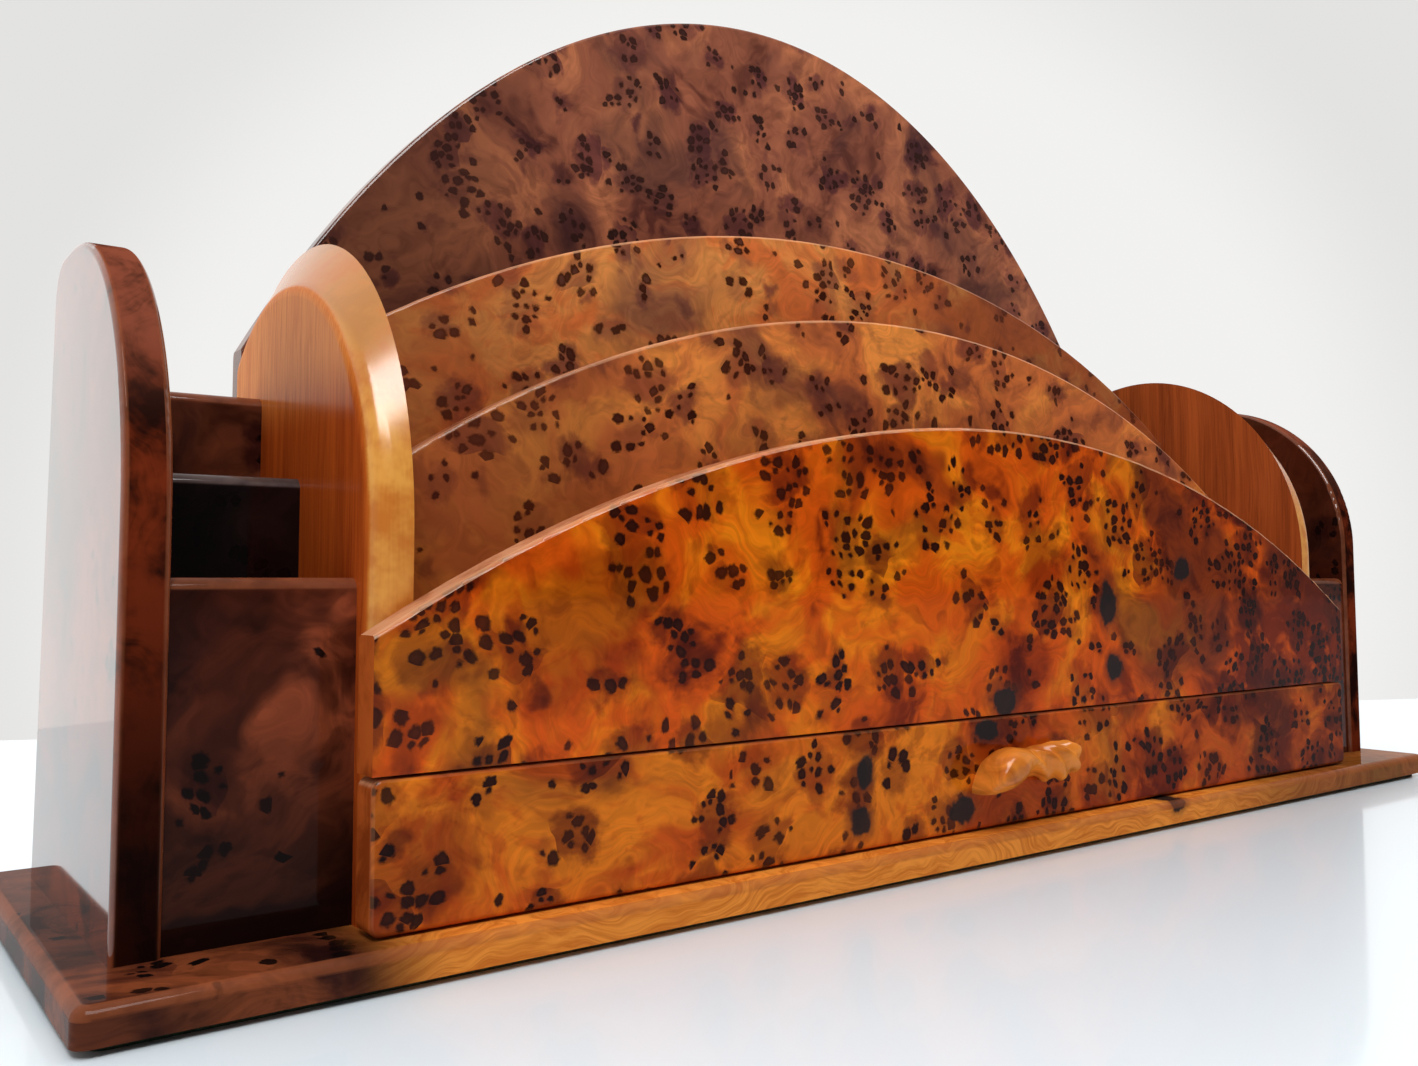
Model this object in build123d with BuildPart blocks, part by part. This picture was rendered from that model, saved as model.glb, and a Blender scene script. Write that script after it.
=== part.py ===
# Letter holder with a drawer and two stepped side pockets
# Millimetres, X along the length, Y to the back, Z up, origin in the middle of the underside
import os
from math import sqrt

from build123d import *

os.makedirs("parts", exist_ok=True)

# Base board and felt
felt_thickness = 1.0
felt_inset = 2.0
base_thickness = 4.5
base_front_margin = 4.3
base_back_margin = 2.7
base_side_margin = 6.0
base_corner_radius = 2.0
base_edge_radius = 1.6

# Letter rack
rack_inner_width = 233.2
cheek_thickness = 6.0
front_panel_thickness = 5.3
divider_thickness = 4.0
back_panel_thickness = 5.0
front_slot_depth = 18.7
middle_slot_depth = 16.4
rear_slot_depth = 20.4
front_panel_overhang = 1.4
back_panel_inset = 0.6
letter_floor_thickness = 4.0
groove_depth = 2.0
tongue_gap = 0.5
arris_radius = 0.6

# Heights of the arched boards above the base board, at the ends and in the middle
front_end_height = 38.5
front_crown_height = 73.9
middle_end_height = 60.2
middle_crown_height = 97.8
rear_end_height = 83.6
rear_crown_height = 118.9
back_shoulder_height = 86.4
back_crown_height = 175.5
back_arch_half_axis = 161.4

# Side outline of the cheeks, on the inner and the outer face
cheek_spring_height = 52.0
cheek_inner_crown_height = 100.9
cheek_inner_crown_depth = 46.0
cheek_inner_back_height = 97.2
cheek_outer_crown_height = 91.8
cheek_outer_crown_depth = 40.5
cheek_outer_back_height = 83.0
cheek_edge_radius = 3.5

# End panels
pocket_width = 23.5
end_panel_thickness = 5.9
end_panel_setback = 4.0
end_panel_height = 95.0
end_panel_foot_depth = 58.5
end_panel_back_lean = 6.0
end_panel_front_radius = 40.0
end_panel_back_radius = 7.0
end_panel_edge_radius = 0.9

# Pocket walls, as depths behind the end panels' front edges
pocket_wall_thickness = 5.0
pocket_front_depth = 0.8
pocket_middle_depth = 25.0
pocket_back_depth = 45.0
pocket_front_height = 46.0
pocket_middle_height = 61.2
pocket_back_height = 75.9
pocket_top_radius = 1.9

# Drawer
drawer_bay_height = 20.6
drawer_front_thickness = 5.0
drawer_front_gap = 0.4
drawer_side_clearance = 0.6
drawer_under_clearance = 0.3
drawer_back_clearance = 2.0
drawer_side_height = 15.3
drawer_side_thickness = 5.0
drawer_back_thickness = 4.0
drawer_bottom_thickness = 2.5
drawer_bottom_lift = 1.5
drawer_groove_depth = 2.0
drawer_corner_radius = 1.5

# Knob
knob_width = 25.6
knob_height = 8.2
knob_lift = 0.8
knob_projection = 7.8
knob_bottom_setback = 2.2
knob_waist_width = 9.0
knob_bottom_notch = 2.4
knob_top_notch = 0.6
knob_flare = 2.0
knob_edge_radius = 0.6

# Wood screws
screw_radius = 1.1
screw_head_radius = 2.3
screw_slot_width = 0.6
screw_slot_depth = 0.5
screw_point_length = 3.0
screw_point_radius = 0.2
screw_hole_clearance = 0.1
base_screw_length = 17.0
knob_screw_length = 9.0
cheek_screw_depths = (12.0, 50.0)
end_panel_screw_depths = (12.0, 44.0)

# Planes and edges that follow from the sizes above
base_top = felt_thickness + base_thickness
rack_depth = (
    front_slot_depth + middle_slot_depth + rear_slot_depth + 2 * divider_thickness
)
base_depth = (
    base_front_margin + front_panel_thickness + rack_depth + back_panel_thickness + base_back_margin
)
base_front = -base_depth / 2
face_y = base_front + base_front_margin
cheek_front = face_y + front_panel_thickness
middle_divider_y = cheek_front + front_slot_depth
rear_divider_y = middle_divider_y + divider_thickness + middle_slot_depth
back_panel_y = cheek_front + rack_depth
inner_half = rack_inner_width / 2
cheek_outer = inner_half + cheek_thickness
front_half = cheek_outer + front_panel_overhang
back_half = cheek_outer - back_panel_inset
end_inner = cheek_outer + pocket_width
end_outer = end_inner + end_panel_thickness
base_half = end_outer + base_side_margin
end_front = cheek_front + end_panel_setback
bay_top = base_top + drawer_bay_height
floor_top = bay_top + letter_floor_thickness
drawer_back_face = face_y + drawer_front_thickness
drawer_rear = back_panel_y - drawer_back_clearance
drawer_half = inner_half - drawer_side_clearance
drawer_inner_half = drawer_half - drawer_side_thickness
drawer_foot = base_top + drawer_under_clearance
drawer_bottom_z = drawer_foot + drawer_bottom_lift
drawer_front_foot = base_top + drawer_front_gap
drawer_front_height = drawer_bay_height - 2 * drawer_front_gap
knob_z = base_top + drawer_bay_height / 2 + knob_lift
knob_top = knob_z + knob_height / 2
knob_foot = knob_z - knob_height / 2
knob_neck_z = (knob_foot + knob_bottom_notch + knob_top - knob_top_notch) / 2

low_corner = (Align.CENTER, Align.MIN, Align.MIN)


def board_plane(y):
    return Plane.XZ.offset(-y)


def save(board, label):
    board.part.label = label
    export_step(board.part, f"parts/{label}.step")


def add_screws(places, length):
    head_depth = screw_head_radius - screw_radius
    shank_length = length - head_depth - screw_point_length
    hanging = (Align.CENTER, Align.CENTER, Align.MAX)
    with Locations(*places):
        Cone(screw_radius, screw_head_radius, head_depth, align=hanging)
        with Locations((0, 0, -head_depth)):
            Cylinder(screw_radius, shank_length, align=hanging)
        with Locations((0, 0, -head_depth - shank_length)):
            Cone(screw_point_radius, screw_radius, screw_point_length, align=hanging)
        Box(
            3 * screw_head_radius, screw_slot_width, 2 * screw_slot_depth, mode=Mode.SUBTRACT
        )


def countersink(places, depth):
    with Locations(*places):
        CounterSinkHole(
            screw_radius + screw_hole_clearance, screw_head_radius, depth=depth, counter_sink_angle=90
        )


def pilot_holes(places):
    with Locations(*[(x, y, base_top) for x, y in places]):
        Cylinder(
            screw_radius + screw_hole_clearance, base_screw_length,
            align=(Align.CENTER, Align.CENTER, Align.MIN), mode=Mode.SUBTRACT,
        )


# Screw places under the cheeks and the end panels
cheek_screws = {}
end_panel_screws = {}
for side in (-1, 1):
    cheek_screws[side] = [
        (side * (inner_half + cheek_thickness / 2), cheek_front + depth)
        for depth in cheek_screw_depths
    ]
    end_panel_screws[side] = [
        (side * (end_inner + end_panel_thickness / 2), end_front + depth)
        for depth in end_panel_screw_depths
    ]
screw_places = cheek_screws[-1] + cheek_screws[1] + end_panel_screws[-1] + end_panel_screws[1]
upward_screws = [
    Location(Plane(origin=(x, y, felt_thickness), x_dir=(1, 0, 0), z_dir=(0, 0, -1)))
    for x, y in screw_places
]

# Base board with countersunk holes from below
with BuildPart() as base_board:
    with BuildSketch(Plane.XY.offset(felt_thickness)):
        RectangleRounded(2 * base_half, base_depth, base_corner_radius)
    extrude(amount=base_thickness)
    fillet(base_board.faces().sort_by(Axis.Z)[-1].edges(), base_edge_radius)
    countersink(upward_screws, base_thickness)
save(base_board, "base_board")

# Felt sheet that covers the screw heads
with BuildPart() as base_felt:
    with BuildSketch():
        RectangleRounded(
            2 * (base_half - felt_inset), base_depth - 2 * felt_inset, base_corner_radius
        )
    extrude(amount=felt_thickness)
save(base_felt, "base_felt")

# Screws that hold the cheeks and the end panels
with BuildPart() as base_screws:
    add_screws(upward_screws, base_screw_length)
save(base_screws, "base_screws")


# Cheeks, each a loft from the inner to the lower outer outline, with stopped grooves
def cheek_outline(x, crown_depth, crown_height, back_height):
    crown = (cheek_front + crown_depth, base_top + crown_height)
    spring = (cheek_front, base_top + cheek_spring_height)
    back_end = (back_panel_y, base_top + back_height)
    with BuildSketch(Plane.YZ.offset(x)) as outline:
        with BuildLine():
            EllipticalCenterArc(
                (crown[0], spring[1]), crown_depth, crown[1] - spring[1],
                start_angle=90, arc_size=90,
            )
            TangentArc(crown, back_end, tangent=(1, 0))
            Polyline(back_end, (back_panel_y, base_top), (cheek_front, base_top), spring)
        make_face()
    return outline.sketch


def cheek(side):
    inner_outline = cheek_outline(
        side * inner_half, cheek_inner_crown_depth, cheek_inner_crown_height, cheek_inner_back_height
    )
    outer_outline = cheek_outline(
        side * cheek_outer, cheek_outer_crown_depth, cheek_outer_crown_height, cheek_outer_back_height
    )
    with BuildPart() as board:
        loft(sections=[inner_outline, outer_outline], ruled=True)
        outer_face = board.faces().sort_by(Axis.X)[0 if side < 0 else -1]
        outer_arris = outer_face.edges().sort_by(Axis.Z)[-2:]
        fillet(outer_arris, cheek_edge_radius)
        for y, end_height in (
            (middle_divider_y, middle_end_height),
            (rear_divider_y, rear_end_height),
        ):
            with Locations((side * inner_half, y, floor_top)):
                Box(
                    2 * groove_depth, divider_thickness, base_top + end_height - floor_top,
                    align=low_corner, mode=Mode.SUBTRACT,
                )
        pilot_holes(cheek_screws[side])
    return board


for side, name in ((-1, "left"), (1, "right")):
    save(cheek(side), f"{name}_cheek")


# End panels with a round front shoulder and a back edge that leans forward
def end_panel(side):
    top = base_top + end_panel_height
    shoulder = (end_front, top - end_panel_front_radius)
    shoulder_end = (end_front + end_panel_front_radius, top)
    foot_back = end_front + end_panel_foot_depth
    with BuildPart() as board:
        with BuildSketch(Plane.YZ.offset(side * (end_inner + end_panel_thickness / 2))) as outline:
            with BuildLine():
                TangentArc(shoulder, shoulder_end, tangent=(0, 1))
                Polyline(
                    shoulder_end, (foot_back - end_panel_back_lean, top),
                    (foot_back, base_top), (end_front, base_top), shoulder,
                )
            make_face()
            back_corner = outline.vertices().group_by(Axis.Y)[-1].sort_by(Axis.X)[-1]
            fillet(back_corner, end_panel_back_radius)
        extrude(amount=end_panel_thickness / 2, both=True)
        side_edges = board.faces().filter_by(Axis.X).edges()
        fillet(side_edges.filter_by(lambda edge: edge.center().Z > base_top), end_panel_edge_radius)
        pilot_holes(end_panel_screws[side])
    return board


for side, name in ((-1, "left"), (1, "right")):
    save(end_panel(side), f"{name}_end_panel")

# High arched back panel, laid over the cheeks' back edges
arch_share = sqrt(1 - (back_half / back_arch_half_axis) ** 2)
back_arch_rise = (back_crown_height - back_shoulder_height) / (1 - arch_share)
with BuildPart() as back_panel:
    with BuildSketch(board_plane(back_panel_y)):
        with Locations((0, base_top + back_crown_height - back_arch_rise)):
            Ellipse(back_arch_half_axis, back_arch_rise)
        with Locations((0, base_top)):
            Rectangle(
                2 * back_half, back_crown_height,
                align=(Align.CENTER, Align.MIN), mode=Mode.INTERSECT,
            )
    extrude(amount=-back_panel_thickness)
    fillet(back_panel.edges().filter_by(GeomType.ELLIPSE), arris_radius)
save(back_panel, "back_panel")


# Boards with a round arch: two dividers with tongues in the cheeks' grooves, and the front panel
def arched_board(y, thickness, half_width, foot, end_height, crown_height, tongue):
    end = base_top + end_height
    with BuildPart() as board:
        with BuildSketch(board_plane(y)):
            with BuildLine():
                Polyline((half_width, end), (half_width, foot), (-half_width, foot), (-half_width, end))
                ThreePointArc((-half_width, end), (0, base_top + crown_height), (half_width, end))
            make_face()
        extrude(amount=-thickness)
        fillet(board.edges().filter_by(GeomType.CIRCLE), arris_radius)
        if tongue:
            with Locations((0, y, foot)):
                Box(2 * (half_width + tongue), thickness, end - tongue_gap - foot, align=low_corner)
    return board


rear_divider = arched_board(
    rear_divider_y, divider_thickness, inner_half, floor_top,
    rear_end_height, rear_crown_height, groove_depth,
)
save(rear_divider, "rear_divider")
middle_divider = arched_board(
    middle_divider_y, divider_thickness, inner_half, floor_top,
    middle_end_height, middle_crown_height, groove_depth,
)
save(middle_divider, "middle_divider")
front_panel = arched_board(
    face_y, front_panel_thickness, front_half, bay_top,
    front_end_height, front_crown_height, 0,
)
save(front_panel, "front_panel")

# Floor that the letters stand on, over the drawer bay
with BuildPart() as letter_floor:
    with Locations((0, cheek_front, bay_top)):
        Box(2 * inner_half, rack_depth, letter_floor_thickness, align=low_corner)
save(letter_floor, "letter_floor")


# Stepped walls of the side pockets
def pocket_wall(side, depth, height):
    with BuildPart() as wall:
        with Locations((side * (cheek_outer + pocket_width / 2), end_front + depth, base_top)):
            Box(pocket_width, pocket_wall_thickness, height, align=low_corner)
        fillet(wall.faces().sort_by(Axis.Z)[-1].edges().filter_by(Axis.X), pocket_top_radius)
    return wall


for side, name in ((-1, "left"), (1, "right")):
    save(pocket_wall(side, pocket_front_depth, pocket_front_height), f"{name}_pocket_front")
    save(pocket_wall(side, pocket_middle_depth, pocket_middle_height), f"{name}_pocket_middle")
    save(pocket_wall(side, pocket_back_depth, pocket_back_height), f"{name}_pocket_back")


# Space of the drawer bottom with its edges in the grooves, cut from the boards around it
def drawer_bottom_board(mode):
    front = drawer_back_face - drawer_groove_depth
    back = drawer_rear - drawer_back_thickness + drawer_groove_depth
    with Locations((0, front, drawer_bottom_z)):
        Box(
            2 * (drawer_inner_half + drawer_groove_depth), back - front, drawer_bottom_thickness,
            align=low_corner, mode=mode,
        )


knob_screw_place = Location(
    Plane(origin=(0, drawer_back_face, knob_neck_z), x_dir=(1, 0, 0), z_dir=(0, 1, 0))
)

# Drawer front, laid over the cheeks' front edges
with BuildPart() as drawer_front:
    with BuildSketch(board_plane(face_y)):
        with Locations((0, drawer_front_foot + drawer_front_height / 2)):
            RectangleRounded(2 * front_half, drawer_front_height, drawer_corner_radius)
    extrude(amount=-drawer_front_thickness)
    fillet(drawer_front.faces().sort_by(Axis.Y)[0].edges(), arris_radius)
    drawer_bottom_board(Mode.SUBTRACT)
    countersink([knob_screw_place], drawer_front_thickness)
save(drawer_front, "drawer_front")

# Drawer sides, back and bottom
for side, name in ((-1, "left"), (1, "right")):
    with BuildPart() as drawer_side:
        with Locations((side * (drawer_half - drawer_side_thickness / 2), drawer_back_face, drawer_foot)):
            Box(
                drawer_side_thickness, drawer_rear - drawer_back_face, drawer_side_height,
                align=low_corner,
            )
        drawer_bottom_board(Mode.SUBTRACT)
    save(drawer_side, f"drawer_{name}_side")

with BuildPart() as drawer_back:
    with Locations((0, drawer_rear - drawer_back_thickness, drawer_foot)):
        Box(2 * drawer_inner_half, drawer_back_thickness, drawer_side_height, align=low_corner)
    drawer_bottom_board(Mode.SUBTRACT)
save(drawer_back, "drawer_back")

with BuildPart() as drawer_bottom:
    drawer_bottom_board(Mode.ADD)
save(drawer_bottom, "drawer_bottom")

# Knob like a bow: two flared ends, a notched waist, and a face that leans back at its foot
half_bow = knob_width / 2
half_waist = knob_waist_width / 2
knob_face = face_y - knob_projection
with BuildPart() as drawer_knob:
    with BuildSketch(board_plane(face_y)):
        with BuildLine():
            Polyline(
                (half_waist, knob_top), (half_bow, knob_top),
                (half_bow, knob_foot), (half_waist, knob_foot),
            )
            ThreePointArc(
                (half_waist, knob_foot), (0, knob_foot + knob_bottom_notch), (-half_waist, knob_foot)
            )
            Polyline(
                (-half_waist, knob_foot), (-half_bow, knob_foot),
                (-half_bow, knob_top), (-half_waist, knob_top),
            )
            ThreePointArc(
                (-half_waist, knob_top), (0, knob_top - knob_top_notch), (half_waist, knob_top)
            )
        make_face()
    extrude(amount=knob_projection)
    with BuildSketch(Plane.XY.offset(knob_foot)):
        with BuildLine():
            Polyline(
                (-half_bow, knob_face), (half_bow, knob_face), (half_bow - knob_flare, face_y),
                (-half_bow + knob_flare, face_y), close=True,
            )
        make_face()
    extrude(amount=knob_height, mode=Mode.INTERSECT)
    with BuildSketch(Plane.YZ.offset(-half_bow)):
        with BuildLine():
            Polyline(
                (face_y, knob_foot), (face_y, knob_top), (knob_face, knob_top),
                (knob_face + knob_bottom_setback, knob_foot), close=True,
            )
        make_face()
    extrude(amount=knob_width, mode=Mode.INTERSECT)
    fillet(drawer_knob.faces().sort_by(Axis.Y)[0].edges(), knob_edge_radius)
    with Locations(knob_screw_place):
        Cylinder(
            screw_radius + screw_hole_clearance, 2 * knob_screw_length, mode=Mode.SUBTRACT
        )
save(drawer_knob, "drawer_knob")

# Screw that holds the knob from inside the drawer
with BuildPart() as knob_screw:
    add_screws([knob_screw_place], knob_screw_length)
save(knob_screw, "knob_screw")
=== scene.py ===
import math
import bmesh
import bpy
from mathutils import Matrix, Vector


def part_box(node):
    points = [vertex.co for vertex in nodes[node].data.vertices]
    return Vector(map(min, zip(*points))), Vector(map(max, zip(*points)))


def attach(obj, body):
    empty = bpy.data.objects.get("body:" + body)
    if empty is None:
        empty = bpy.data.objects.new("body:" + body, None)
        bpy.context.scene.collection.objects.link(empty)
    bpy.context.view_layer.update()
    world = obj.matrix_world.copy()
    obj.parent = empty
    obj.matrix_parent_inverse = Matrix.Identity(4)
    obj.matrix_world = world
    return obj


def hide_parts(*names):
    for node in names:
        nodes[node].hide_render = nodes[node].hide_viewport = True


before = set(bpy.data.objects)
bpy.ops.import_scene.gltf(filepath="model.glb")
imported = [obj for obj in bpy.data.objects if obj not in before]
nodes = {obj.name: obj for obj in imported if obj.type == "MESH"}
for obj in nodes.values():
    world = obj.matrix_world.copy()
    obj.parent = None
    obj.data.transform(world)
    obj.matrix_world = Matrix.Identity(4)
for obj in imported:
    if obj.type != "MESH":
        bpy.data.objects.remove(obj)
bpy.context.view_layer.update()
scene = bpy.context.scene
mm = 0.001
print("frame loaded:", len(nodes), "nodes")

# Camera, fitted to the photograph
cameraValues = {
    "place": (-0.183773, -0.190012, 0.050287),
    "yaw": 37.650,       # degrees to the right of straight back
    "pitch": 3.708,
    "roll": -0.217,
    "lens": 31.379,
    "sensorWidth": 36,
    "shift": (-0.02186, -0.01975),
    "clipStart": 0.01,
}


def addCamera(values):
    yaw, pitch, roll = (math.radians(values[key]) for key in ("yaw", "pitch", "roll"))
    ahead = Vector((math.sin(yaw) * math.cos(pitch), math.cos(yaw) * math.cos(pitch), math.sin(pitch)))
    level = Vector((math.cos(yaw), -math.sin(yaw), 0))
    upright = level.cross(ahead)
    right = level * math.cos(roll) + upright * math.sin(roll)
    up = upright * math.cos(roll) - level * math.sin(roll)
    data = bpy.data.cameras.new("photoCamera")
    data.sensor_width = values["sensorWidth"]
    data.lens = values["lens"]
    data.shift_x, data.shift_y = values["shift"]
    data.clip_start = values["clipStart"]
    camera = bpy.data.objects.new("photoCamera", data)
    turn = Matrix((right, up, -ahead)).transposed().to_4x4()
    camera.matrix_world = Matrix.Translation(values["place"]) @ turn
    scene.collection.objects.link(camera)
    scene.camera = camera


addCamera(cameraValues)


# Small helpers for node trees
def tint(*screen):
    # red, green and blue from 0 to 255, as on a screen, to the linear colour that the shader wants
    shares = [value / 255 for value in screen]
    linear = [share / 12.92 if share < 0.0404 else ((share + 0.055) / 1.055) ** 2.4 for share in shares]
    return (*linear, 1)


def addNode(tree, kind, inputs=None, **settings):
    made = tree.nodes.new("ShaderNode" + kind)
    for key, value in settings.items():
        setattr(made, key, value)
    for key, value in (inputs or {}).items():
        if isinstance(value, bpy.types.NodeSocket):
            tree.links.new(value, made.inputs[key])
        else:
            made.inputs[key].default_value = value
    return made


def calc(tree, operation, *values):
    return addNode(tree, "Math", dict(enumerate(values)), operation=operation).outputs[0]


def vectorCalc(tree, operation, *values):
    return addNode(tree, "VectorMath", dict(enumerate(values)), operation=operation).outputs[0]


def fade(tree, value, start, end, low=0.0, high=1.0):
    # smooth change from low to high while value goes from start to end
    inputs = {"Value": value, "From Min": start, "From Max": end, "To Min": low, "To Max": high}
    return addNode(tree, "MapRange", inputs, interpolation_type="SMOOTHSTEP").outputs[0]


def blendColors(tree, factor, first, second, mode="MIX"):
    inputs = {0: factor, 6: first, 7: second}
    return addNode(tree, "Mix", inputs, data_type="RGBA", blend_type=mode).outputs[2]


def cloud(tree, place, scale, detail=2.0, roughness=0.5, distortion=0.0):
    inputs = {"Vector": place, "Scale": scale, "Detail": detail, "Roughness": roughness}
    return addNode(tree, "TexNoise", {**inputs, "Distortion": distortion}).outputs["Fac"]


def sway(tree, place, scale, detail):
    # a smooth random vector, each part from about -0.5 to 0.5
    field = addNode(tree, "TexNoise", {"Vector": place, "Scale": scale, "Detail": detail})
    return vectorCalc(tree, "SUBTRACT", field.outputs["Color"], (0.5, 0.5, 0.5))


def inMillimetres(tree):
    coordinates = addNode(tree, "TexCoord").outputs["Object"]
    return vectorCalc(tree, "MULTIPLY", coordinates, (1 / mm, 1 / mm, 1 / mm))


def newGroup(name, inputs, outputs):
    group = bpy.data.node_groups.new(name, "ShaderNodeTree")
    for label, kind, value in inputs:
        socket = group.interface.new_socket(name=label, in_out="INPUT", socket_type="NodeSocket" + kind)
        if value is not None:
            socket.default_value = value
    for label, kind in outputs:
        group.interface.new_socket(name=label, in_out="OUTPUT", socket_type="NodeSocket" + kind)
    return group, group.nodes.new("NodeGroupInput").outputs, group.nodes.new("NodeGroupOutput").inputs


def useGroup(tree, group, inputs):
    return addNode(tree, "Group", inputs, node_tree=group).outputs


# Burl figure: flames, clouds, and eyes in clusters
burlValues = {
    "slowSwirl": 0.018, "slowReach": 58,      # a swirl is per millimetre, and its reach is in millimetres
    "quickSwirl": 0.075, "quickReach": 15,
    "flames": 0.048, "mottle": 0.17, "darkClouds": 0.026,
    "fibres": (0.10, 0.10, 1.1),
    "shadeOnFlames": -0.16, "shadeOnClouds": 0.12, "shadeOnClusters": 0.10,
    "eyeSpacing": 2.3, "eyeReach": 5, "smallestEye": 0.22, "largestEye": 0.50,
    "missingEyes": 0.12, "strayEyes": 0.025,
    "clusterSpacing": 10.5, "clusterSwirl": 0.11, "clusterReach": 9, "smallestCluster": 0.12,
}


def makeBurlFigure(values):
    # Place is in millimetres, with the board's face in its XY plane
    group, given, put = newGroup(
        "burlFigure",
        [
            ("Place", "Vector", None), ("Shade", "Float", 0.0),
            ("Eye Size", "Float", 1.0), ("Crowding", "Float", 0.5), ("Clouds", "Float", 0.5),
            ("Room", "Float", 0.46), ("Halo", "Float", 0.8),
            ("Pale", "Color", tint(235, 150, 40)), ("Warm", "Color", tint(205, 100, 20)),
            ("Deep", "Color", tint(110, 40, 15)), ("Cloud", "Color", tint(75, 35, 35)),
            ("Eye", "Color", tint(28, 14, 14)), ("Stain", "Color", (0.34, 0.24, 0.55, 1)),
        ],
        [("Color", "Color"), ("Figure", "Float")],
    )
    place = given["Place"]
    slow = sway(group, place, values["slowSwirl"], 1)
    quick = sway(group, place, values["quickSwirl"], 2)
    swirled = vectorCalc(group, "MULTIPLY_ADD", slow, (values["slowReach"],) * 3, place)
    swirled = vectorCalc(group, "MULTIPLY_ADD", quick, (values["quickReach"],) * 3, swirled)

    # flames
    flame = cloud(group, swirled, values["flames"], 4, 0.52, 0.35)
    flame = calc(group, "MULTIPLY_ADD", given["Shade"], values["shadeOnFlames"], flame)
    color = blendColors(group, fade(group, flame, 0.33, 0.46), given["Deep"], given["Warm"])
    color = blendColors(group, fade(group, flame, 0.45, 0.63), color, given["Pale"])
    mottle = cloud(group, swirled, values["mottle"], 3, 0.55)
    color = blendColors(group, fade(group, mottle, 0.52, 0.66, 0.0, 0.6), color, given["Warm"])
    color = blendColors(group, fade(group, mottle, 0.46, 0.32, 0.0, 0.4), color, given["Deep"])

    # dark clouds
    patchNoise = cloud(group, swirled, values["darkClouds"], 4, 0.55)
    patchNoise = calc(group, "MULTIPLY_ADD", given["Shade"], values["shadeOnClouds"], patchNoise)
    patch = calc(group, "MULTIPLY", fade(group, patchNoise, 0.50, 0.66, 0.0, 0.85), given["Clouds"])
    color = blendColors(group, patch, color, given["Cloud"])

    # fine fibres that follow the swirls
    along = vectorCalc(group, "MULTIPLY", swirled, values["fibres"])
    fibre = cloud(group, along, 1.0, 3, 0.6)
    shade = fade(group, fibre, 0.3, 0.7, 0.84, 1.12)
    grey = addNode(group, "CombineColor", {0: shade, 1: shade, 2: shade}).outputs[0]
    color = blendColors(group, 1.0, color, grey, "MULTIPLY")

    # small eyes stand packed in clusters, like berries, in wood that is stained round them
    pinned = vectorCalc(group, "MULTIPLY_ADD", quick, (values["eyeReach"],) * 3, place)
    size = addNode(group, "CombineXYZ", {axis: given["Eye Size"] for axis in range(3)}).outputs[0]
    pinned = vectorCalc(group, "DIVIDE", pinned, size)
    flat = {"voronoi_dimensions": "2D"}
    inputs = {"Vector": pinned, "Scale": 1 / values["eyeSpacing"], "Randomness": 0.8}
    eye = addNode(group, "TexVoronoi", inputs, **flat)
    chance = addNode(group, "SeparateColor", {0: eye.outputs["Color"]}).outputs
    low = calc(group, "SUBTRACT", 1.0, given["Crowding"])
    room = calc(group, "MULTIPLY_ADD", given["Shade"], values["shadeOnClusters"], given["Room"])

    def clusterAt(spot):
        drift = sway(group, spot, values["clusterSwirl"], 2)
        reach = values["clusterReach"]
        spot = vectorCalc(group, "MULTIPLY_ADD", drift, (reach, reach, 0), spot)
        inputs = {"Vector": spot, "Scale": 1 / values["clusterSpacing"], "Randomness": 0.95}
        found = addNode(group, "TexVoronoi", inputs, **flat)
        pick = addNode(group, "SeparateColor", {0: found.outputs["Color"]}).outputs
        inputs = {"Value": pick[0], "From Min": low, "From Max": 1.0, "To Max": room}
        inputs["To Min"] = values["smallestCluster"]
        radius = addNode(group, "MapRange", inputs, clamp=False).outputs[0]
        return calc(group, "SUBTRACT", radius, found.outputs["Distance"]), pick

    within, pick = clusterAt(eye.outputs["Position"])
    present = calc(group, "GREATER_THAN", within, 0.0)
    present = calc(group, "MULTIPLY", present, calc(group, "GREATER_THAN", chance[0], values["missingEyes"]))
    stray = calc(group, "GREATER_THAN", chance[0], 1 - values["strayEyes"])
    present = calc(group, "MAXIMUM", present, stray)
    radius = fade(group, chance[1], 0.0, 1.0, values["smallestEye"], values["largestEye"])
    ragged = calc(group, "MULTIPLY_ADD", cloud(group, pinned, 1.1, 2), 0.50, -0.25)
    depth = calc(group, "SUBTRACT", radius, calc(group, "ADD", eye.outputs["Distance"], ragged))
    core = calc(group, "MULTIPLY", fade(group, depth, -0.10, 0.12), present)
    around, aroundPick = clusterAt(pinned)
    frayed = calc(group, "MULTIPLY_ADD", cloud(group, pinned, 0.30, 3, 0.6), 0.6, -0.30)
    stained = fade(group, calc(group, "ADD", around, frayed), -0.10, 0.14)
    stained = calc(group, "MULTIPLY", stained, given["Halo"])
    stained = calc(group, "MULTIPLY", stained, fade(group, aroundPick[1], 0.0, 1.0, 0.45, 1.0))
    color = blendColors(group, stained, color, given["Stain"], "MULTIPLY")
    color = blendColors(group, calc(group, "MULTIPLY", stained, 0.35), color, given["Cloud"])
    middle = fade(group, depth, 0.14, 0.36, 0.0, 0.4)
    eyeColor = blendColors(group, calc(group, "MULTIPLY", middle, chance[2]), given["Eye"], given["Cloud"])
    opacity = calc(group, "MULTIPLY", core, fade(group, pick[2], 0.0, 1.0, 0.88, 1.0))
    color = blendColors(group, opacity, color, eyeColor)
    group.links.new(color, put["Color"])
    group.links.new(fibre, put["Figure"])
    return group


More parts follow.
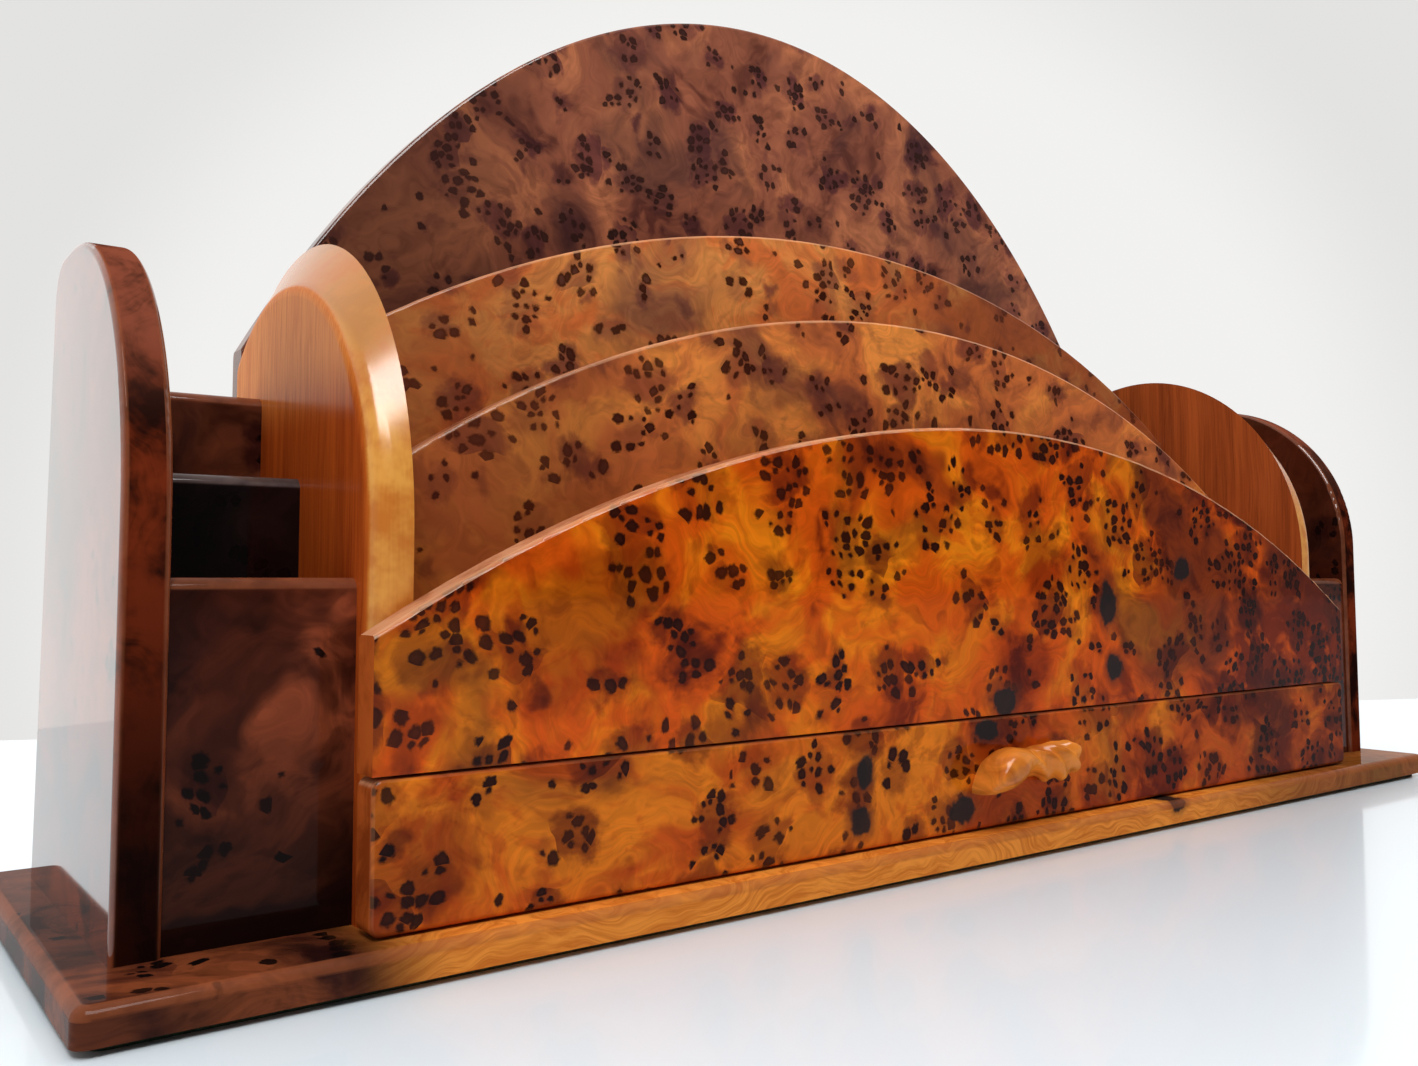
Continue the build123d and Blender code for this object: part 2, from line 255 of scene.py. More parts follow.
# Straight grain: long fibres along Z, with a slow change of tone
def makeStraightGrain():
    group, given, put = newGroup(
        "straightGrain",
        [
            ("Place", "Vector", None), ("Pale", "Color", tint(200, 130, 70)),
            ("Deep", "Color", tint(120, 60, 30)), ("Contrast", "Float", 1.0),
        ],
        [("Color", "Color"), ("Figure", "Float")],
    )
    place = given["Place"]
    swayed = vectorCalc(group, "MULTIPLY_ADD", sway(group, place, 0.02, 2), (5, 5, 0), place)
    wide = cloud(group, vectorCalc(group, "MULTIPLY", swayed, (0.30, 0.30, 0.008)), 1.0, 3, 0.55)
    fine = cloud(group, vectorCalc(group, "MULTIPLY", swayed, (2.4, 2.4, 0.05)), 1.0, 3, 0.6)
    both = calc(group, "MULTIPLY_ADD", calc(group, "SUBTRACT", fine, 0.5), 0.8, wide)
    spread = calc(group, "MULTIPLY_ADD", calc(group, "SUBTRACT", both, 0.5), given["Contrast"], 0.5)
    color = blendColors(group, fade(group, spread, 0.30, 0.70), given["Deep"], given["Pale"])
    group.links.new(color, put["Color"])
    group.links.new(fine, put["Figure"])
    return group


# Where a board's surface turns away from its face: the arris, and the edge beyond it
def makeArrisLine():
    group, given, put = newGroup(
        "arrisLine",
        [
            ("Face", "Vector", (0, 1, 0)), ("Place", "Vector", None),
            ("Arris Low", "Float", 0.02), ("Arris Full", "Float", 0.25),
            ("Edge Start", "Float", 0.7), ("Edge Full", "Float", 0.2),
        ],
        [("Arris", "Float"), ("Edge", "Float"), ("Upward", "Float")],
    )
    normal = addNode(group, "NewGeometry").outputs["Normal"]
    facing = addNode(group, "VectorMath", {0: normal, 1: given["Face"]}, operation="DOT_PRODUCT")
    facing = calc(group, "ABSOLUTE", facing.outputs["Value"])
    onTurn = fade(group, facing, given["Arris Low"], given["Arris Full"])
    onTurn = calc(group, "MULTIPLY", onTurn, fade(group, facing, 0.995, 0.95))
    patchy = fade(group, cloud(group, given["Place"], 0.25, 3), 0.3, 0.6, 0.55, 1.0)
    # how far the surface faces up, for the light painted on edges from above
    upward = addNode(group, "SeparateXYZ", {0: normal}).outputs["Z"]
    group.links.new(calc(group, "MULTIPLY", onTurn, patchy), put["Arris"])
    group.links.new(fade(group, facing, given["Edge Start"], given["Edge Full"]), put["Edge"])
    group.links.new(fade(group, upward, 0.2, 0.6), put["Upward"])
    return group


burlFigure = makeBurlFigure(burlValues)
straightGrain = makeStraightGrain()
arrisLine = makeArrisLine()


# Finishes. A board's own values take the place of these
boardValues = {
    "turn": (0, 0, 0), "coat": 1.0, "coatRoughness": 0.05, "crown": 0.9,
    "woodIor": 1.5, "woodRoughness": 0.16, "wear": 0.16, "bump": 0.12, "fibreDepth": 0.00005,
}
figureSockets = (
    "Eye Size", "Crowding", "Clouds", "Room", "Halo", "Stain", "Pale", "Warm", "Deep", "Cloud", "Eye",
)
knotColor = tint(34, 30, 30)
knotHalo = tint(98, 42, 24)
darkSpotStain = (0.42, 0.27, 0.4, 1)


def startMaterial(name):
    material = bpy.data.materials.new(name)
    material.use_nodes = True
    tree = material.node_tree
    return material, tree, tree.nodes["Principled BSDF"]


def placeOn(tree, offset, turn):
    # object coordinates in millimetres, turned and moved to choose another part of the pattern
    turn = [math.radians(angle) for angle in turn]
    inputs = {"Vector": inMillimetres(tree), "Location": offset, "Rotation": turn}
    return addNode(tree, "Mapping", inputs).outputs[0]


def addBump(tree, shader, height, strength, distance):
    bump = addNode(tree, "Bump", {"Height": height, "Strength": strength, "Distance": distance})
    tree.links.new(bump.outputs[0], shader.inputs["Normal"])


def lacquer(tree, shader, color, figure, place, edge, values):
    # clear coat over wood whose own gloss changes with its figure
    shader.inputs["IOR"].default_value = values["woodIor"]
    shader.inputs["Specular IOR Level"].default_value = 0
    shader.inputs["Coat Weight"].default_value = values["coat"]
    if "edgeCoat" in values:
        thin = fade(tree, edge, 0.0, 1.0, values["coat"], values["edgeCoat"])
        tree.links.new(thin, shader.inputs["Coat Weight"])
    shader.inputs["Coat Roughness"].default_value = values["coatRoughness"]
    shader.inputs["Coat IOR"].default_value = values["coatIor"]
    tree.links.new(color, shader.inputs["Base Color"])
    worn = cloud(tree, place, 0.08, 4, 0.6)
    rough = calc(tree, "MULTIPLY_ADD", worn, values["wear"], values["woodRoughness"])
    tree.links.new(rough, shader.inputs["Roughness"])
    addBump(tree, shader, figure, values["bump"], values["fibreDepth"])


def edgeAndArris(tree, color, figure, place, values):
    # edges show lighter, plainer wood. Where they face up the crown colour is painted light from above, over
    # that patchy wood, and the arris is lighter still: partly worn wood, partly a painted highlight
    inputs = {"Face": values["face"], "Place": place}
    for key in ("Arris Low", "Arris Full", "Edge Start", "Edge Full"):
        if key in values:
            inputs[key] = values[key]
    turned = useGroup(tree, arrisLine, inputs)
    if "edge" in values:
        fibre = calc(tree, "SUBTRACT", figure, 0.5)
        patches = calc(tree, "MULTIPLY_ADD", fibre, values["edgeFibre"], cloud(tree, place, 0.09, 4, 0.6))
        edgeWood = blendColors(tree, fade(tree, patches, 0.38, 0.62), values["edgeDeep"], values["edgePale"])
        crown = fade(tree, patches, 0.38, 0.60, 0.4 * values["crown"], values["crown"])
        crown = calc(tree, "MULTIPLY", crown, turned["Upward"])
        edgeWood = blendColors(tree, crown, edgeWood, values["crownColor"])
        color = blendColors(tree, calc(tree, "MULTIPLY", turned["Edge"], values["edge"]), color, edgeWood)
    arris = calc(tree, "MULTIPLY", turned["Arris"], values["arris"])
    return blendColors(tree, arris, color, values["arrisColor"]), turned["Edge"]


def shadeAcross(tree, ramps):
    # sum of smooth steps along X, Y or Z, each (axis, start, end, amount) in millimetres
    total = None
    for axis, start, end, amount in ramps:
        coordinates = addNode(tree, "TexCoord").outputs["Object"]
        along = addNode(tree, "SeparateXYZ", {0: coordinates}).outputs[axis]
        step = fade(tree, along, start * mm, end * mm, 0.0, amount)
        total = step if total is None else calc(tree, "ADD", total, step)
    return total


def spotDistances(tree, spots, scale, detail, fray):
    # for each spot, how far a point is from its middle: about 1 on its frayed outline, and less inside.
    # A spot is (x, z, half width, half height) in millimetres, on a board that faces the front
    place = inMillimetres(tree)
    ragged = cloud(tree, place, scale, detail, 0.6)
    for x, z, halfWidth, halfHeight in spots:
        offset = vectorCalc(tree, "SUBTRACT", place, (x, 0, z))
        offset = vectorCalc(tree, "MULTIPLY", offset, (1 / halfWidth, 0, 1 / halfHeight))
        distance = addNode(tree, "VectorMath", {0: offset}, operation="LENGTH").outputs["Value"]
        yield calc(tree, "MULTIPLY_ADD", ragged, -fray, calc(tree, "ADD", distance, fray / 2))


def darkSpots(tree, color, spots):
    for distance in spotDistances(tree, spots, 0.09, 4, 2.4):
        share = fade(tree, distance, 1.3, 0.6, 0.0, 0.8)
        color = blendColors(tree, share, color, darkSpotStain, "MULTIPLY")
    return color


def largeKnots(tree, color, knots):
    for distance in spotDistances(tree, knots, 0.22, 3, 1.6):
        color = blendColors(tree, fade(tree, distance, 1.9, 0.9, 0.0, 0.6), color, knotHalo)
        color = blendColors(tree, fade(tree, distance, 1.1, 0.8, 0.0, 0.95), color, knotColor)
    return color


def plainWood(tree, figure, deep, pale):
    return blendColors(tree, fade(tree, figure, 0.3, 0.7), deep, pale)


def burlMaterial(name, values):
    material, tree, shader = startMaterial(name)
    values = {**boardValues, **values}
    place = placeOn(tree, values["offset"], values["turn"])
    inputs = {key: values[key] for key in figureSockets if key in values}
    inputs["Place"] = place
    if "shade" in values:
        inputs["Shade"] = shadeAcross(tree, values["shade"])
    figure = useGroup(tree, burlFigure, inputs)
    color = figure["Color"]
    if "gold" in values:
        gold = plainWood(tree, figure["Figure"], values["goldDeep"], values["goldPale"])
        color = blendColors(tree, shadeAcross(tree, values["gold"]), color, gold)
    if "darkSpots" in values:
        color = darkSpots(tree, color, values["darkSpots"])
    if "knots" in values:
        color = largeKnots(tree, color, values["knots"])
    color, edge = edgeAndArris(tree, color, figure["Figure"], place, values)
    # painted shade: the board, and after it the edge alone, grow darker along the ramps, where less light
    # reaches
    if "paintedShade" in values:
        color = blendColors(tree, shadeAcross(tree, values["paintedShade"]), color, values["paintedShadeColor"])
    if "edgeDusk" in values:
        low = calc(tree, "MULTIPLY", shadeAcross(tree, values["edgeDusk"]), edge)
        color = blendColors(tree, low, color, values["paintedShadeColor"])
    lacquer(tree, shader, color, figure["Figure"], place, edge, values)
    return material


def grainMaterial(name, values):
    material, tree, shader = startMaterial(name)
    values = {**boardValues, **values}
    place = placeOn(tree, values["offset"], values["turn"])
    inputs = {"Place": place, "Pale": values["pale"], "Deep": values["deep"], "Contrast": values["contrast"]}
    figure = useGroup(tree, straightGrain, inputs)
    color = figure["Color"]
    # painted light: paler colour where the ramp marks the upper part
    if "paintedLight" in values:
        paintedLightWood = plainWood(tree, figure["Figure"], values["paintedLightDeep"], values["paintedLightPale"])
        color = blendColors(tree, shadeAcross(tree, values["paintedLight"]), color, paintedLightWood)
    color, edge = edgeAndArris(tree, color, figure["Figure"], place, values)
    lacquer(tree, shader, color, figure["Figure"], place, edge, values)
    return material


feltValues = {
    "deep": tint(18, 40, 28), "pale": tint(52, 84, 60), "worn": tint(70, 88, 72),
    "sheen": 0.4, "bump": 0.8, "fuzzDepth": 0.0003,
}


def feltMaterial(name, values):
    material, tree, shader = startMaterial(name)
    place = inMillimetres(tree)
    fuzz = cloud(tree, place, 2.2, 4, 0.7)
    worn = cloud(tree, place, 0.06, 2)
    color = blendColors(tree, fade(tree, fuzz, 0.3, 0.7), values["deep"], values["pale"])
    color = blendColors(tree, fade(tree, worn, 0.5, 0.7, 0, 0.3), color, values["worn"])
    tree.links.new(color, shader.inputs["Base Color"])
    tree.links.new(fade(tree, fuzz, 0.3, 0.7, 0.98, 0.85), shader.inputs["Roughness"])
    addBump(tree, shader, fuzz, values["bump"], values["fuzzDepth"])
    shader.inputs["Sheen Weight"].default_value = values["sheen"]
    return material


brassValues = {
    "bright": tint(196, 150, 76), "stained": tint(150, 104, 50),
    "smoothest": 0.22, "roughest": 0.42, "bump": 0.25, "scratchDepth": 0.00005,
}


def brassMaterial(name, values):
    material, tree, shader = startMaterial(name)
    place = inMillimetres(tree)
    stain = cloud(tree, place, 0.5, 4, 0.6)
    scratch = cloud(tree, vectorCalc(tree, "MULTIPLY", place, (9, 1.2, 9)), 1.0, 2)
    color = blendColors(tree, fade(tree, stain, 0.4, 0.65), values["bright"], values["stained"])
    tree.links.new(color, shader.inputs["Base Color"])
    shader.inputs["Metallic"].default_value = 1.0
    rough = fade(tree, scratch, 0.3, 0.7, values["smoothest"], values["roughest"])
    tree.links.new(rough, shader.inputs["Roughness"])
    addBump(tree, shader, scratch, values["bump"], values["scratchDepth"])
    return material


facingFront = (90, 0, 0)
facingSide = (0, 90, 0)
brightBurl = {
    "Pale": tint(234, 127, 17), "Warm": tint(208, 81, 11), "Deep": tint(118, 35, 8),
    "Cloud": tint(74, 29, 19), "Eye": tint(34, 10, 6),
    "turn": facingFront, "Crowding": 1.0, "Clouds": 0.85, "coatIor": 1.4, "coat": 0.4,
    "face": (0, 1, 0), "arris": 0.6, "arrisColor": tint(222, 160, 116),
    "edge": 0.95, "edgePale": tint(188, 90, 36), "edgeDeep": tint(140, 60, 22), "edgeFibre": 0.25,
    "crownColor": tint(206, 148, 110),
}
frontBurl = dict(brightBurl, Stain=(0.36, 0.22, 0.36, 1))
dullBurl = {
    "Pale": tint(206, 124, 84), "Warm": tint(166, 96, 70), "Deep": tint(106, 56, 45),
    "Cloud": tint(82, 50, 48), "Eye": tint(52, 29, 24),
    "turn": facingFront, "Crowding": 1.0, "Clouds": 0.9, "Eye Size": 0.95, "coatIor": 1.4, "coat": 0.8,
    "face": (0, 1, 0), "arris": 0.3, "arrisColor": tint(140, 90, 70),
}
darkBurl = {
    "Pale": tint(118, 52, 26), "Warm": tint(84, 34, 18), "Deep": tint(44, 17, 10),
    "Cloud": tint(24, 12, 12), "Eye": tint(13, 7, 7),
    "turn": facingFront, "Crowding": 0.12, "Clouds": 0.9, "coatIor": 1.33, "coat": 0.7,
    "face": (0, 1, 0), "arris": 0.5, "arrisColor": tint(150, 84, 54),
}
endBurl = dict(
    darkBurl, Pale=tint(130, 54, 26), Warm=tint(96, 38, 19),
    turn=facingSide, coatIor=1.65, coat=1.0, edgeCoat=0.0, face=(1, 0, 0),
    edge=1.0, edgePale=tint(112, 42, 20), edgeDeep=tint(30, 12, 9), edgeFibre=0.2,
    crownColor=tint(146, 86, 66), crown=0.5,
)
# offset chooses a board's own part of the pattern. The lists are ramps, as shadeAcross takes them: more dark
# figure (shade), plain gold wood (gold), and painted shade on a board and on its edges alone, where less
# light reaches
boards = {
    "front_panel": dict(
        frontBurl, offset=(40, 12, 7), Room=0.54,
        shade=[("X", 10, 100, 1.1), ("X", -95, -118, 0.25)],
        darkSpots=[(-93, 45, 16, 11), (9, 53, 7, 8), (2, 36, 7, 7)],
        knots=[(29.5, 46.2, 2.7, 4.8), (31.5, 33.4, 2.6, 2.5), (56, 53.5, 2.8, 2.9), (-3, 28.8, 3.6, 2.6)],
    ),
    "drawer_front": dict(
        frontBurl, offset=(-310, 55, 90), Pale=tint(222, 120, 26), Warm=tint(190, 78, 18),
        Room=0.58, arris=0.1, coat=0.28,
        shade=[("X", -102, -84, -0.5), ("X", -72, -50, -0.9), ("X", -22, -8, 1.6), ("X", 10, 105, 0.6)],
        darkSpots=[(-116, 16, 9, 8)],
        knots=[(-38.7, 18.8, 1.9, 3.0), (-39.7, 10.6, 2.3, 2.6), (-8, 23.6, 3.4, 2.0), (-15, 9.6, 3.4, 2.6)],
    ),
    "middle_divider": dict(
        brightBurl, offset=(150, 300, -80), Pale=tint(250, 152, 70), Warm=tint(216, 116, 60),
        Deep=tint(150, 78, 50), Cloud=tint(106, 60, 50), Eye=tint(58, 22, 12), coat=0.5,
        paintedShade=[("X", -62, -84, 0.42)], paintedShadeColor=tint(92, 40, 26),
    ),
    "rear_divider": dict(
        brightBurl, offset=(-90, 500, 210), Pale=tint(242, 154, 80), Warm=tint(230, 120, 60),
        Deep=tint(186, 96, 56), Cloud=tint(120, 74, 64), Eye=tint(60, 24, 12), coat=0.6,
        shade=[("X", -88, -62, -0.9), ("X", -35, -8, 0.9)],
        paintedShade=[("X", -60, -105, 0.5), ("X", 0, 45, 0.6)], paintedShadeColor=tint(112, 56, 36),
    ),
    "back_panel": dict(
        dullBurl, offset=(260, -210, 50), paintedShade=[("X", -40, -100, 0.7)], paintedShadeColor=tint(60, 32, 27),
    ),
    # the front edge gets painted shade towards its foot
    "left_end_panel": dict(
        endBurl, offset=(10, 20, 30), edgeDusk=[("Z", 62, 18, 0.9)], paintedShadeColor=tint(22, 10, 8),
    ),
    "right_end_panel": dict(
        endBurl, offset=(70, 120, 230), Pale=tint(84, 38, 22), Warm=tint(74, 30, 16), coatIor=1.4,
    ),
    # the wall gets painted shade towards its foot, down in the pocket
    "left_pocket_front": dict(
        darkBurl, offset=(-60, 40, 60), Pale=tint(156, 76, 46), Warm=tint(78, 33, 20), coat=0.25,
        paintedShade=[("Z", 46, 12, 0.85)], paintedShadeColor=tint(22, 11, 9),
    ),
    # painted shade: near-black colours, as the wall stands in shadow between the pocket walls; its grey arris
    # is a painted reflection
    "left_pocket_middle": dict(
        darkBurl, offset=(-60, 140, 160), Pale=tint(34, 20, 18), Warm=tint(24, 15, 14),
        Deep=tint(17, 11, 11), arrisColor=tint(120, 100, 96),
    ),
    "left_pocket_back": dict(
        darkBurl, offset=(-60, 240, 260), Pale=tint(140, 74, 44), Warm=tint(98, 50, 32),
        Deep=tint(56, 26, 18), Crowding=0.5,
    ),
    "right_pocket_front": dict(darkBurl, offset=(160, 40, 60)),
    "right_pocket_middle": dict(darkBurl, offset=(160, 140, 160)),
    "right_pocket_back": dict(darkBurl, offset=(160, 240, 260)),
    "base_board": dict(
        darkBurl, offset=(0, 0, 400), Pale=tint(118, 60, 34), Warm=tint(86, 42, 26),
        turn=(0, 0, 0), face=(0, 0, 1), Crowding=0.3, coatIor=1.3, coat=0.3,
        gold=[("X", -128, -112, 1.0), ("X", 50, 110, -0.75)],
        goldPale=tint(240, 150, 60), goldDeep=tint(204, 112, 38),
        knots=[(46, 5.2, 2.8, 1.9)],
    ),
}
cheekWood = {
    "pale": tint(202, 92, 30), "deep": tint(142, 53, 18), "contrast": 0.45,
    "coatIor": 1.5, "coat": 0.25, "edgeCoat": 1.0, "coatRoughness": 0.2, "face": (1, 0, 0),
    # the arris colour is a painted reflection on the rounded edge between face and band
    "arris": 0.4, "arrisColor": tint(206, 104, 38), "Arris Low": 0.80, "Arris Full": 0.93,
    "edge": 1.0, "edgePale": tint(232, 160, 70), "edgeDeep": tint(204, 116, 40), "edgeFibre": 0.1,
    "Edge Start": 0.95, "Edge Full": 0.84, "crownColor": tint(178, 112, 44),
}
innerWood = {
    "pale": tint(214, 168, 112), "deep": tint(172, 122, 74), "contrast": 0.9,
    "coatIor": 1.3, "coatRoughness": 0.2, "face": (0, 0, 1),
    "arris": 0.0, "arrisColor": tint(214, 168, 112),
}
# a ramp along Z as well: painted light, a paler upper part of the cheek, where it catches the reflection of
# the room
plainBoards = {
    "left_cheek": dict(
        cheekWood, offset=(0, 0, 0),
        paintedLight=[("Z", 73, 86, 1.0)], paintedLightPale=tint(240, 152, 74), paintedLightDeep=tint(214, 118, 52),
    ),
    "right_cheek": dict(cheekWood, offset=(80, 0, 90), pale=tint(190, 94, 42), deep=tint(124, 54, 25)),
    "letter_floor": dict(innerWood, offset=(0, 40, 0), turn=facingSide),
    "drawer_left_side": dict(innerWood, offset=(0, 70, 0), turn=facingFront),
    "drawer_right_side": dict(innerWood, offset=(30, 90, 0), turn=facingFront),
    "drawer_back": dict(innerWood, offset=(10, 30, 60), turn=facingSide),
    "drawer_bottom": dict(innerWood, offset=(60, 10, 20), turn=facingSide),
}


def paint(name, material):
    nodes[name].data.materials.clear()
    nodes[name].data.materials.append(material)


for name, values in boards.items():
    paint(name, burlMaterial(name + "_burl", values))
for name, values in plainBoards.items():
    paint(name, grainMaterial(name + "_grain", values))
paint("base_felt", feltMaterial("feltUnderside", feltValues))
brass = brassMaterial("turnedBrass", brassValues)
screws = ("base_screws", "knob_screw")
for name in screws:
    paint(name, brass)
print("finishes on", len(boards) + len(plainBoards) + len(screws) + 1, "nodes")

# Knob: a bow carved from pale wood, twisted like rope on the right. Sizes in millimetres
knobValues = {
    "drawerFace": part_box("drawer_front")[0][1] / mm,
    "step": 0.4,                                         # from ring to ring
    "strands": 5, "facets": 8,                           # facets round each strand
    "grooveDepth": 0.24, "twist": 15,                    # degrees for each millimetre
    "smoothUpTo": -1.0, "smoothing": 45,                 # the left lobe has no strands
    "thickness": 0.62, "lean": 1.1,                      # as a share of the reach, and at the top and foot
    "polish": 0.4,                                       # how far the last smoothing rounds the strands
    "rings": (                                           # x, reach, foot, top
        (-12.3, 4.2, 12.5, 13.8), (-11.8, 5.4, 12.3, 15.4), (-10.9, 6.5, 12.2, 17.3), (-9.5, 7.0, 12.2, 19.2),
        (-7.6, 7.2, 12.3, 20.4), (-6.0, 7.2, 12.5, 20.7),
        (-4.4, 6.9, 12.9, 20.5), (-2.2, 6.1, 14.3, 20.2), (-0.2, 5.7, 15.1, 20.0), (2.0, 6.2, 14.3, 20.2),
        (4.2, 6.9, 13.2, 20.6), (8.0, 7.2, 12.7, 20.7), (11.2, 6.8, 13.0, 20.8), (12.2, 5.8, 13.6, 20.5),
        (12.5, 4.4, 14.6, 19.8),
    ),
    "finish": dict(
        offset=(12, 4, 30), turn=facingFront, face=(0, 0, 1), arris=0.0, arrisColor=tint(236, 190, 120),
        Pale=tint(248, 178, 82), Warm=tint(226, 134, 48), Deep=tint(176, 86, 26), Cloud=tint(150, 72, 28),
        Eye=tint(96, 40, 16), Crowding=0.7, Clouds=0.6, Halo=0.6, coatIor=1.5, coat=0.4, coatRoughness=0.12,
    ),
}


def between(table, x):
    # the table's row at x, on straight lines between its rows
    for first, second in zip(table, table[1:]):
        if x <= second[0]:
            share = max(0.0, (x - first[0]) / (second[0] - first[0]))
            return [a + (b - a) * share for a, b in zip(first[1:], second[1:])]
    return table[-1][1:]


def carveKnob(values):
    bm = bmesh.new()
    facets = values["facets"]
    lay = Matrix.Rotation(math.radians(90), 4, "Y")
    ring = bmesh.ops.create_circle(bm, segments=values["strands"] * facets, radius=1, matrix=lay)["verts"]
    for place in range(facets):
        depth = 1 - values["grooveDepth"] * (0.5 + 0.5 * math.cos(2 * math.pi * place / facets))
        bmesh.ops.scale(bm, vec=(1, depth, depth), verts=ring[place::facets])
    step = values["step"]
    start, end = values["rings"][0][0], values["rings"][-1][0]
    bmesh.ops.translate(bm, vec=(start, 0, 0), verts=ring)
    edges = bm.edges[:]
    rows = [(start, ring)]
    for row in range(1, round((end - start) / step) + 1):
        grown = bmesh.ops.extrude_edge_only(bm, edges=edges)["geom"]
        ring = [part for part in grown if isinstance(part, bmesh.types.BMVert)]
        edges = [part for part in grown if isinstance(part, bmesh.types.BMEdge)]
        edges = [edge for edge in edges if set(edge.verts) <= set(ring)]
        bmesh.ops.translate(bm, vec=(step, 0, 0), verts=ring)
        rows.append((start + row * step, ring))

    for x, ring in rows:
        turn = Matrix.Rotation(math.radians(values["twist"] * x), 3, "X")
        bmesh.ops.rotate(bm, cent=(0, 0, 0), matrix=turn, verts=ring)
    lobe = [vert for x, ring in rows if x < values["smoothUpTo"] for vert in ring]
    for _ in range(values["smoothing"]):
        bmesh.ops.smooth_vert(bm, verts=lobe, factor=0.5, use_axis_y=True, use_axis_z=True)

    face, lean = values["drawerFace"], values["lean"]
    for x, ring in rows:
        reach, foot, top = between(values["rings"], x)
        depth = values["thickness"] * reach
        wide, high = (max(abs(vert.co[axis]) for vert in ring) for axis in (1, 2))
        shape = Matrix((
            (1, 0, 0, 0), (0, depth / wide, -lean / high, face - reach + depth),
            (0, 0, (top - foot) / 2 / high, (top + foot) / 2), (0, 0, 0, 1),
        ))
        bmesh.ops.transform(bm, matrix=shape, verts=ring)
    everywhere = {"use_axis_x": True, "use_axis_y": True, "use_axis_z": True}
    bmesh.ops.smooth_vert(bm, verts=bm.verts[:], factor=values["polish"], **everywhere)
    bmesh.ops.holes_fill(bm, edges=bm.edges[:], sides=0)
    parts = bm.verts[:] + bm.edges[:] + bm.faces[:]
    cut = bmesh.ops.bisect_plane(bm, geom=parts, plane_co=(0, face, 0), plane_no=(0, 1, 0), clear_outer=True)
    rim = [part for part in cut["geom_cut"] if isinstance(part, bmesh.types.BMEdge)]
    bmesh.ops.holes_fill(bm, edges=rim, sides=0)
    bmesh.ops.recalc_face_normals(bm, faces=bm.faces[:])
    bmesh.ops.scale(bm, vec=(mm, mm, mm), verts=bm.verts[:])
    for part in bm.faces:
        part.smooth = True
    for part in rim:
        part.smooth = False
    mesh = bpy.data.meshes.new("carvedKnob")
    bm.to_mesh(mesh)
    bm.free()
    knob = bpy.data.objects.new("carvedKnob", mesh)
    scene.collection.objects.link(knob)
    mesh.materials.append(burlMaterial("paleKnobWood", values["finish"]))
    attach(knob, "drawer")
    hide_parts("drawer_knob")
    return knob


knob = carveKnob(knobValues)
print("knob carved:", len(knob.data.polygons), "faces")

# Table, backdrop and lights
studioValues = {
    "table": tint(230, 241, 248),
    "tableCorners": ((-4, -4), (4, -4), (4, -1.568), (-4, 2.026)),   # its far edge runs as in the photograph
    "tableRoughness": 0.35, "tableCoat": 0.6, "tableCoatRoughness": 0.08,
    "backdropAhead": (0.611, 0.792, 0), "backdropMiddle": 0.885, "backdropSides": 0.77,
    "backGlow": 1.08, "frontGlow": 0.08, "topGlow": 0.7,
    "wallAhead": (-0.25, 0.968, 0), "wallGlow": 0.28,
    "glowColor": (1, 0.995, 0.98, 1),
}
panels = {
    "ceilingPanel": dict(
        place=(-0.15, -0.2, 1.5), target=(-0.1, 0, 0), size=(1.4, 1.2), glow=1.9, shows=False,
    ),
    "windowPanel": dict(
        place=(-0.54, -0.63, 1.02), target=(-0.12, 0, 0.07), size=(0.24, 0.34), glow=20, shows=False,
    ),
    "glintPanel": dict(
        place=(-0.27, -0.60, 0.92), target=(-0.12, -0.02, 0.08), size=(0.75, 0.52), glow=16, lights=False,
    ),
}


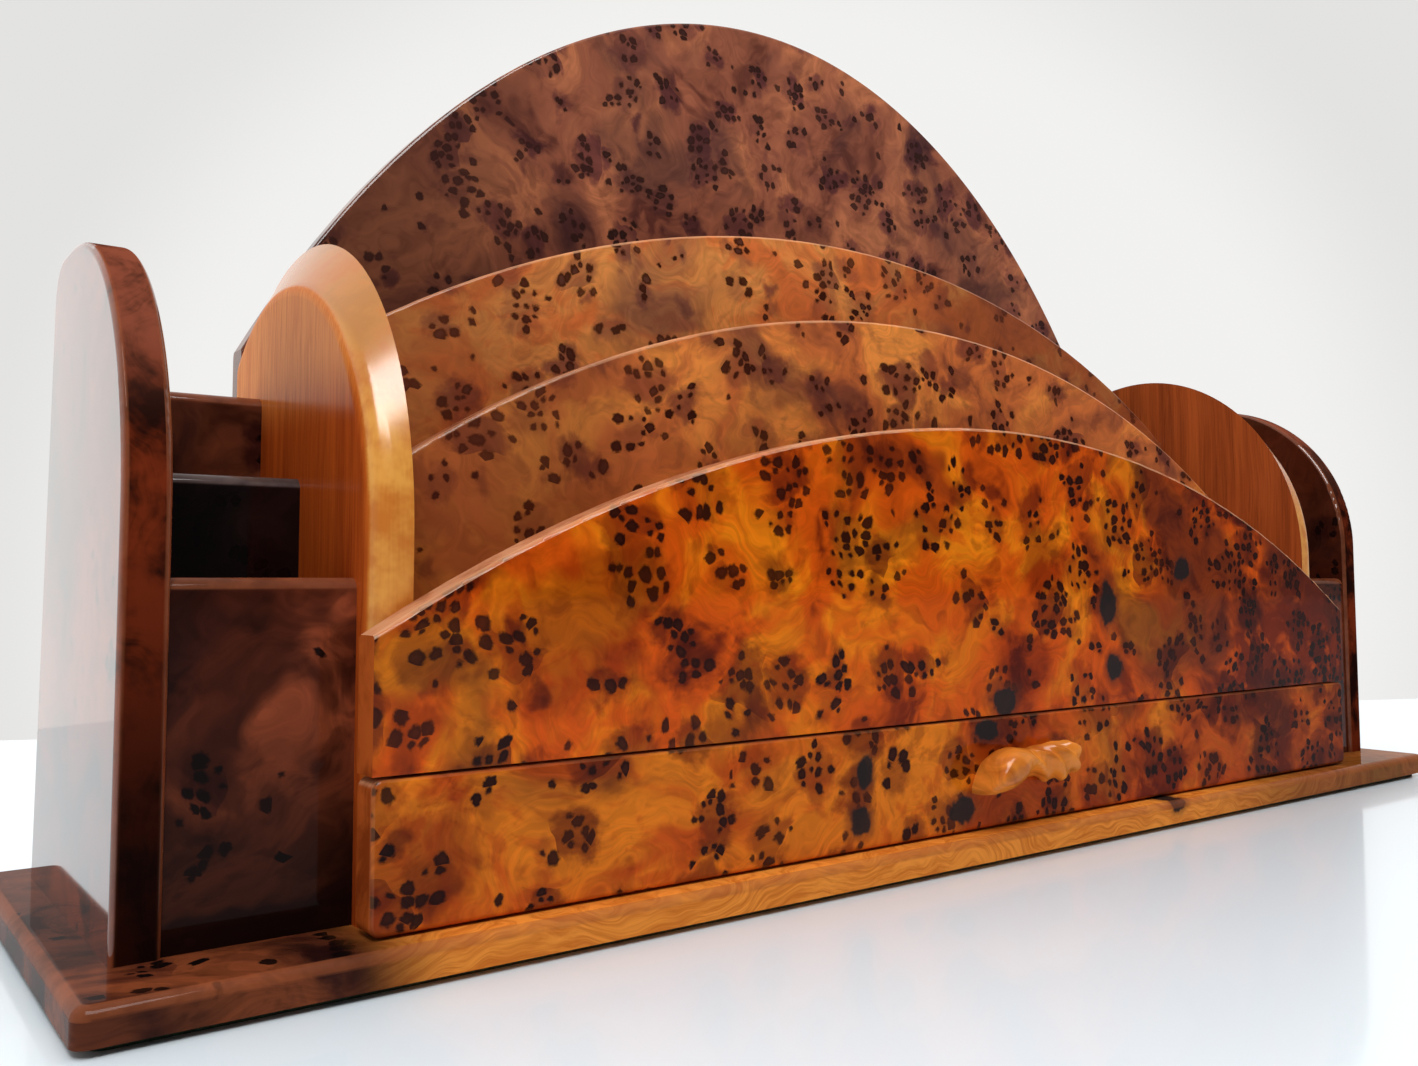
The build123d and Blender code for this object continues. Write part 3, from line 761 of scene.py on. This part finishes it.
def addTable(values):
    mesh = bpy.data.meshes.new("table")
    bm = bmesh.new()
    bm.faces.new([bm.verts.new((x, y, 0)) for x, y in values["tableCorners"]])
    bm.to_mesh(mesh)
    bm.free()
    table = bpy.data.objects.new("table", mesh)
    scene.collection.objects.link(table)
    material, tree, shader = startMaterial("whiteTable")
    shader.inputs["Base Color"].default_value = values["table"]
    shader.inputs["Roughness"].default_value = values["tableRoughness"]
    shader.inputs["Coat Weight"].default_value = values["tableCoat"]
    shader.inputs["Coat Roughness"].default_value = values["tableCoatRoughness"]
    mesh.materials.append(material)


def towards(tree, direction, middle):
    # 1 straight towards middle, and less away from it
    inputs = {0: direction, 1: middle}
    return addNode(tree, "VectorMath", inputs, operation="DOT_PRODUCT").outputs["Value"]


def addWorld(values):
    world = bpy.data.worlds.new("studio")
    world.use_nodes = True
    tree = world.node_tree
    background = tree.nodes["Background"]
    direction = addNode(tree, "TexCoord").outputs["Generated"]
    parts = addNode(tree, "SeparateXYZ", {0: direction})

    # what lights the object: the room behind it, the ceiling and a lighter stretch of wall
    glow = fade(tree, parts.outputs["Y"], -0.8, 0.5, values["frontGlow"], values["backGlow"])
    glow = calc(tree, "MAXIMUM", glow, fade(tree, parts.outputs["Z"], 0.45, 0.9, 0.0, values["topGlow"]))
    wall = towards(tree, direction, values["wallAhead"])
    glow = calc(tree, "ADD", glow, fade(tree, wall, 0.9, 0.99, 0.0, values["wallGlow"]))

    # what the camera sees behind it
    seen = addNode(tree, "LightPath").outputs["Is Camera Ray"]
    behind = towards(tree, direction, values["backdropAhead"])
    backdrop = fade(tree, behind, 0.84, 0.91, values["backdropSides"], values["backdropMiddle"])
    strength = calc(tree, "MULTIPLY_ADD", calc(tree, "SUBTRACT", backdrop, glow), seen, glow)
    tree.links.new(strength, background.inputs["Strength"])
    background.inputs["Color"].default_value = values["glowColor"]
    scene.world = world


def addSoftbox(name, place, target, size, glow, lights=True, shows=True):
    data = bpy.data.lights.new(name, "AREA")
    data.shape = "RECTANGLE"
    data.size, data.size_y = size
    data.energy = glow * math.pi * size[0] * size[1]      # glow is the panel's brightness
    light = bpy.data.objects.new(name, data)
    light.location = place
    light.rotation_mode = "QUATERNION"
    light.rotation_quaternion = (Vector(place) - Vector(target)).to_track_quat("Z", "Y")
    light.visible_diffuse, light.visible_glossy = lights, shows
    scene.collection.objects.link(light)


addTable(studioValues)
addWorld(studioValues)
for name, values in panels.items():
    addSoftbox(name, **values)
scene.view_settings.view_transform = "Standard"
print("studio ready")
